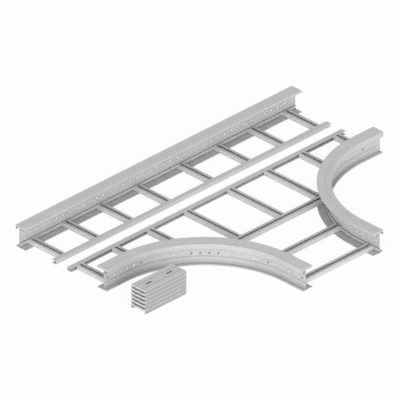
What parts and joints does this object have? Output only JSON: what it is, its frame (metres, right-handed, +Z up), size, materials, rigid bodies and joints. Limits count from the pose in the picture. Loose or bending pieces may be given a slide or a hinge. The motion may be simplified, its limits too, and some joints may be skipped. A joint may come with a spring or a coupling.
{
  "type": "cable tray tee",
  "caption": "Galvanised wide-span cable ladder tee in two bolt-together halves, with curved side rails, slotted rungs and a stack of splice plates.",
  "frame": {"origin": "under the back rail, on the middle of its bottom flange at mid-length, at floor level", "axes": "+X along the main run, -Y towards the branch, +Z up"},
  "size_m": [2.367, 1.605, 0.162],
  "materials": {
    "rail_steel": "matte galvanised",
    "channel_steel": "matte galvanised",
    "rung_steel": "matte galvanised",
    "plate_steel": "matte galvanised"
  },
  "bodies": {
    "root": {"back_rail": "rail_steel", "left_curved_rail": "rail_steel", "right_curved_rail": "rail_steel", "back_joint_channel": "channel_steel", "front_joint_channel": "channel_steel", "back_rung_1": "rung_steel", "back_rung_2": "rung_steel", "back_rung_3": "rung_steel", "back_rung_4": "rung_steel", "back_rung_5": "rung_steel", "back_rung_6": "rung_steel", "back_rung_7": "rung_steel", "back_rung_8": "rung_steel", "front_rung_1": "rung_steel", "front_rung_2": "rung_steel", "front_rung_3": "rung_steel", "front_rung_4": "rung_steel", "front_rung_5": "rung_steel", "front_rung_6": "rung_steel", "front_rung_7": "rung_steel", "front_rung_8": "rung_steel", "branch_rung_1": "rung_steel", "branch_rung_2": "rung_steel", "branch_rung_3": "rung_steel", "splice_plate_1": "plate_steel", "splice_plate_2": "plate_steel", "splice_plate_3": "plate_steel", "splice_plate_4": "plate_steel", "splice_plate_5": "plate_steel", "splice_plate_6": "plate_steel"}
  },
  "joints": []
}
